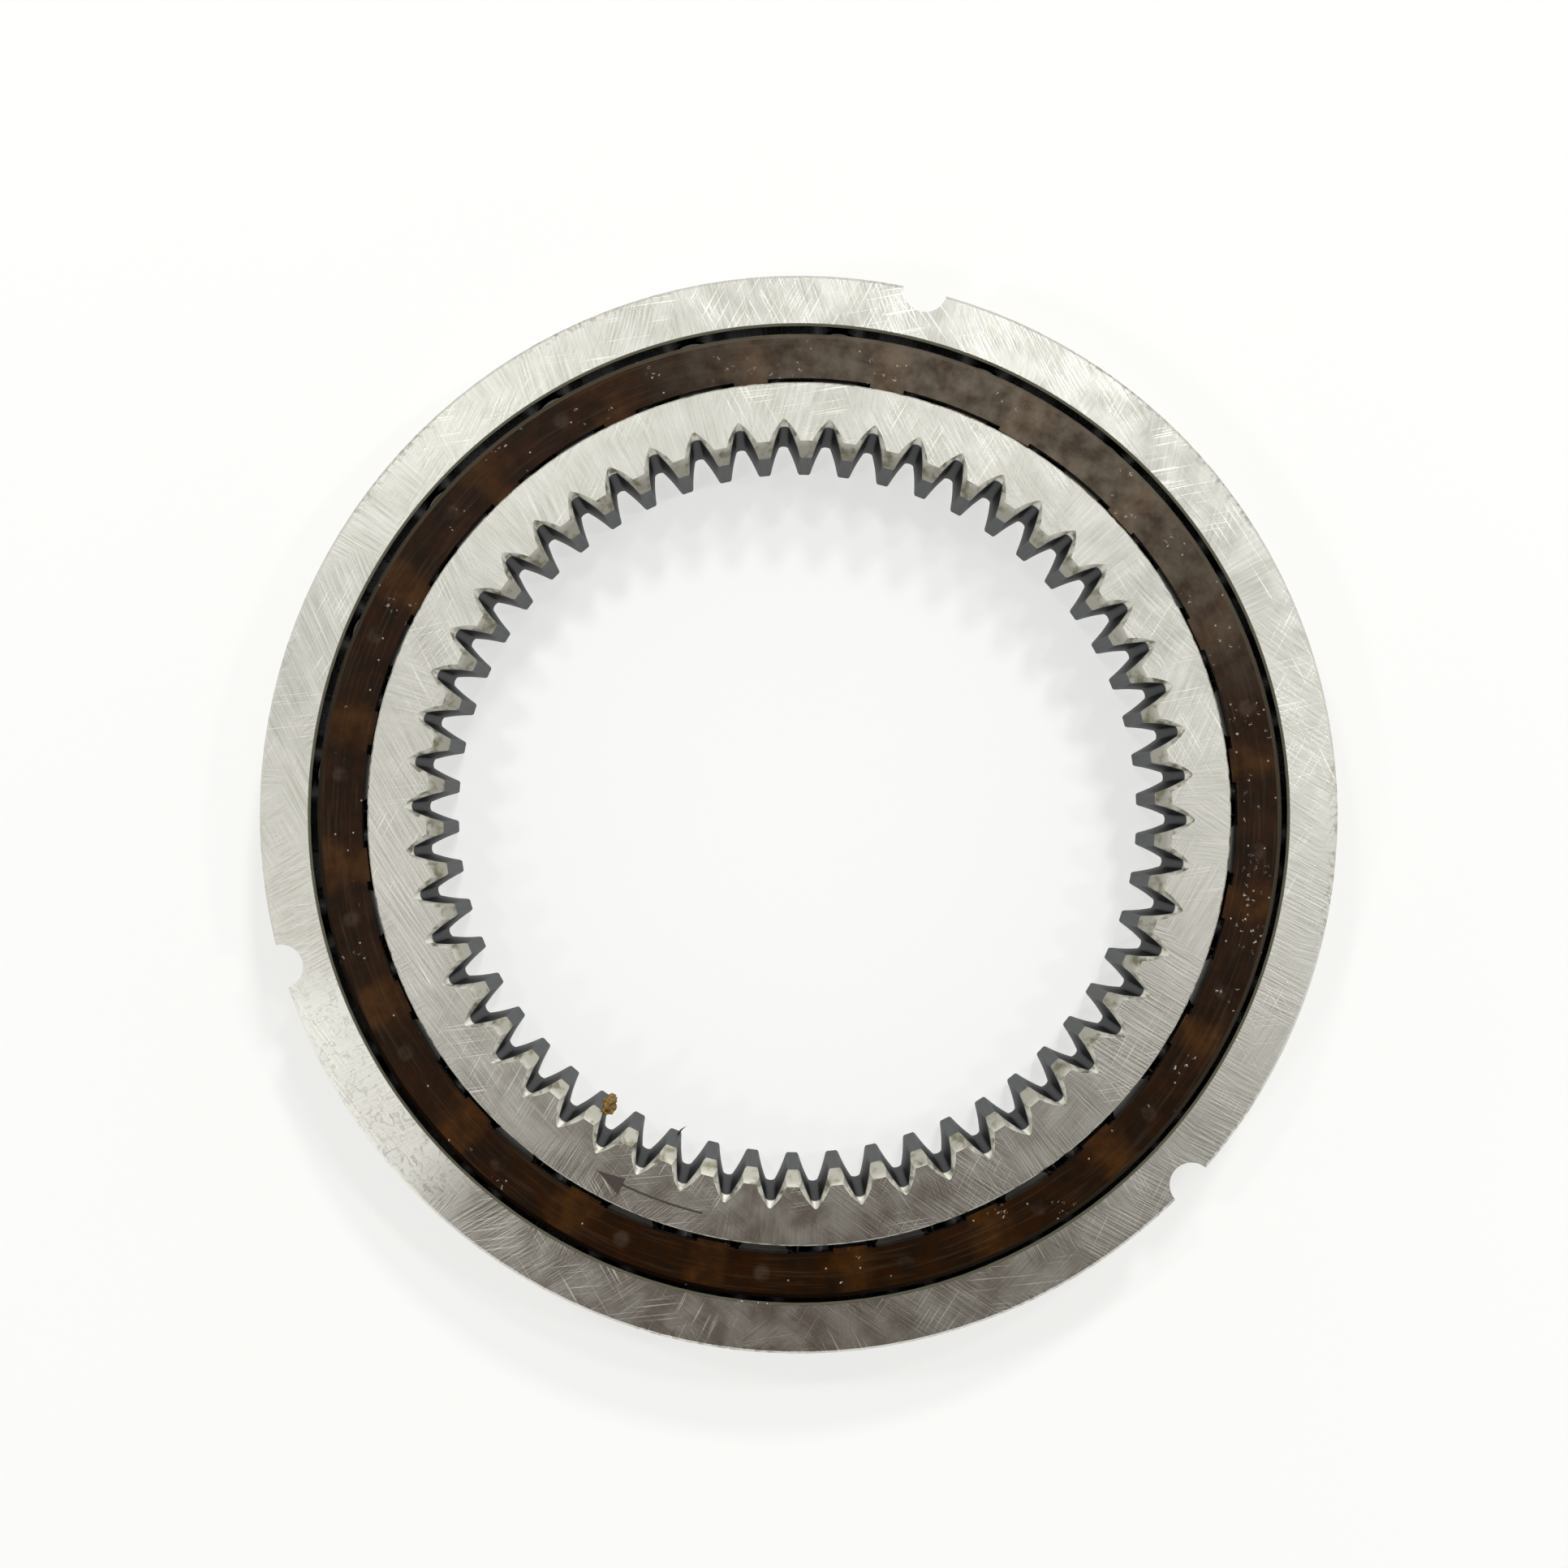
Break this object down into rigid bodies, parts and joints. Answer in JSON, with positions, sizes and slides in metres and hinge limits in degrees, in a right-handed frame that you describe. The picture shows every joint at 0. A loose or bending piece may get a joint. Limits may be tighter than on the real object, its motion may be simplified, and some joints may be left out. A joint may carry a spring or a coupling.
{
  "type": "internal ring gear with one-way roller clutch",
  "caption": "Internal ring gear running inside a notched outer race on caged, spring-loaded rollers, as a one-way clutch.",
  "frame": {"origin": "centre of the lower face, on the axis of both rings", "axes": "+Z along the axis, out of the face that carries the arrow; +Y through one of the three rim notches"},
  "size_m": [0.098, 0.098, 0.012],
  "materials": {
    "ground_steel": "ground and tumbled bearing steel with fine crossing scratches, darker as-cut tooth flanks",
    "amber_moulding": "glossy moulded polyamide, translucent amber brown, with a film of oil",
    "roller_steel": "fine ground and polished roller steel",
    "spring_steel": "rolled stainless spring strip"
  },
  "bodies": {
    "race": {"outer_race": "ground_steel"},
    "gear": {"ring_gear": "ground_steel", "roller_cage": "amber_moulding", "spring_01": "spring_steel", "spring_02": "spring_steel", "spring_03": "spring_steel", "spring_04": "spring_steel", "spring_05": "spring_steel", "spring_06": "spring_steel", "spring_07": "spring_steel", "spring_08": "spring_steel", "spring_09": "spring_steel", "spring_10": "spring_steel", "spring_11": "spring_steel", "spring_12": "spring_steel", "spring_13": "spring_steel", "spring_14": "spring_steel", "spring_15": "spring_steel", "spring_16": "spring_steel", "spring_17": "spring_steel", "spring_18": "spring_steel", "spring_19": "spring_steel", "spring_20": "spring_steel"},
    "roller_01": {"roller_01": "roller_steel"},
    "roller_02": {"roller_02": "roller_steel"},
    "roller_03": {"roller_03": "roller_steel"},
    "roller_04": {"roller_04": "roller_steel"},
    "roller_05": {"roller_05": "roller_steel"},
    "roller_06": {"roller_06": "roller_steel"},
    "roller_07": {"roller_07": "roller_steel"},
    "roller_08": {"roller_08": "roller_steel"},
    "roller_09": {"roller_09": "roller_steel"},
    "roller_10": {"roller_10": "roller_steel"},
    "roller_11": {"roller_11": "roller_steel"},
    "roller_12": {"roller_12": "roller_steel"},
    "roller_13": {"roller_13": "roller_steel"},
    "roller_14": {"roller_14": "roller_steel"},
    "roller_15": {"roller_15": "roller_steel"},
    "roller_16": {"roller_16": "roller_steel"},
    "roller_17": {"roller_17": "roller_steel"},
    "roller_18": {"roller_18": "roller_steel"},
    "roller_19": {"roller_19": "roller_steel"},
    "roller_20": {"roller_20": "roller_steel"}
  },
  "joints": [
    {"name": "freewheel", "type": "hinge", "parent": "race", "child": "gear", "pos_m": [0, 0, 0.006], "axis": [0, 0, 1], "continuous": true},
    {"name": "roller_01_spin", "type": "hinge", "parent": "gear", "child": "roller_01", "pos_m": [0.0409, 0.00629, 0.006], "axis": [0, 0, 1], "continuous": true},
    {"name": "roller_02_spin", "type": "hinge", "parent": "gear", "child": "roller_02", "pos_m": [0.03695, 0.01863, 0.006], "axis": [0, 0, 1], "continuous": true},
    {"name": "roller_03_spin", "type": "hinge", "parent": "gear", "child": "roller_03", "pos_m": [0.02939, 0.02913, 0.006], "axis": [0, 0, 1], "continuous": true},
    {"name": "roller_04_spin", "type": "hinge", "parent": "gear", "child": "roller_04", "pos_m": [0.01895, 0.03679, 0.006], "axis": [0, 0, 1], "continuous": true},
    {"name": "roller_05_spin", "type": "hinge", "parent": "gear", "child": "roller_05", "pos_m": [0.00665, 0.04084, 0.006], "axis": [0, 0, 1], "continuous": true},
    {"name": "roller_06_spin", "type": "hinge", "parent": "gear", "child": "roller_06", "pos_m": [-0.00629, 0.0409, 0.006], "axis": [0, 0, 1], "continuous": true},
    {"name": "roller_07_spin", "type": "hinge", "parent": "gear", "child": "roller_07", "pos_m": [-0.01863, 0.03695, 0.006], "axis": [0, 0, 1], "continuous": true},
    {"name": "roller_08_spin", "type": "hinge", "parent": "gear", "child": "roller_08", "pos_m": [-0.02913, 0.02939, 0.006], "axis": [0, 0, 1], "continuous": true},
    {"name": "roller_09_spin", "type": "hinge", "parent": "gear", "child": "roller_09", "pos_m": [-0.03679, 0.01895, 0.006], "axis": [0, 0, 1], "continuous": true},
    {"name": "roller_10_spin", "type": "hinge", "parent": "gear", "child": "roller_10", "pos_m": [-0.04084, 0.00665, 0.006], "axis": [0, 0, 1], "continuous": true},
    {"name": "roller_11_spin", "type": "hinge", "parent": "gear", "child": "roller_11", "pos_m": [-0.0409, -0.00629, 0.006], "axis": [0, 0, 1], "continuous": true},
    {"name": "roller_12_spin", "type": "hinge", "parent": "gear", "child": "roller_12", "pos_m": [-0.03695, -0.01863, 0.006], "axis": [0, 0, 1], "continuous": true},
    {"name": "roller_13_spin", "type": "hinge", "parent": "gear", "child": "roller_13", "pos_m": [-0.02939, -0.02913, 0.006], "axis": [0, 0, 1], "continuous": true},
    {"name": "roller_14_spin", "type": "hinge", "parent": "gear", "child": "roller_14", "pos_m": [-0.01895, -0.03679, 0.006], "axis": [0, 0, 1], "continuous": true},
    {"name": "roller_15_spin", "type": "hinge", "parent": "gear", "child": "roller_15", "pos_m": [-0.00665, -0.04084, 0.006], "axis": [0, 0, 1], "continuous": true},
    {"name": "roller_16_spin", "type": "hinge", "parent": "gear", "child": "roller_16", "pos_m": [0.00629, -0.0409, 0.006], "axis": [0, 0, 1], "continuous": true},
    {"name": "roller_17_spin", "type": "hinge", "parent": "gear", "child": "roller_17", "pos_m": [0.01863, -0.03695, 0.006], "axis": [0, 0, 1], "continuous": true},
    {"name": "roller_18_spin", "type": "hinge", "parent": "gear", "child": "roller_18", "pos_m": [0.02913, -0.02939, 0.006], "axis": [0, 0, 1], "continuous": true},
    {"name": "roller_19_spin", "type": "hinge", "parent": "gear", "child": "roller_19", "pos_m": [0.03679, -0.01895, 0.006], "axis": [0, 0, 1], "continuous": true},
    {"name": "roller_20_spin", "type": "hinge", "parent": "gear", "child": "roller_20", "pos_m": [0.04084, -0.00665, 0.006], "axis": [0, 0, 1], "continuous": true}
  ],
  "couplings": [
    {"joint": "roller_01_spin", "follows": "freewheel", "ratio": -14.8},
    {"joint": "roller_02_spin", "follows": "freewheel", "ratio": -14.8},
    {"joint": "roller_03_spin", "follows": "freewheel", "ratio": -14.8},
    {"joint": "roller_04_spin", "follows": "freewheel", "ratio": -14.8},
    {"joint": "roller_05_spin", "follows": "freewheel", "ratio": -14.8},
    {"joint": "roller_06_spin", "follows": "freewheel", "ratio": -14.8},
    {"joint": "roller_07_spin", "follows": "freewheel", "ratio": -14.8},
    {"joint": "roller_08_spin", "follows": "freewheel", "ratio": -14.8},
    {"joint": "roller_09_spin", "follows": "freewheel", "ratio": -14.8},
    {"joint": "roller_10_spin", "follows": "freewheel", "ratio": -14.8},
    {"joint": "roller_11_spin", "follows": "freewheel", "ratio": -14.8},
    {"joint": "roller_12_spin", "follows": "freewheel", "ratio": -14.8},
    {"joint": "roller_13_spin", "follows": "freewheel", "ratio": -14.8},
    {"joint": "roller_14_spin", "follows": "freewheel", "ratio": -14.8},
    {"joint": "roller_15_spin", "follows": "freewheel", "ratio": -14.8},
    {"joint": "roller_16_spin", "follows": "freewheel", "ratio": -14.8},
    {"joint": "roller_17_spin", "follows": "freewheel", "ratio": -14.8},
    {"joint": "roller_18_spin", "follows": "freewheel", "ratio": -14.8},
    {"joint": "roller_19_spin", "follows": "freewheel", "ratio": -14.8},
    {"joint": "roller_20_spin", "follows": "freewheel", "ratio": -14.8}
  ]
}
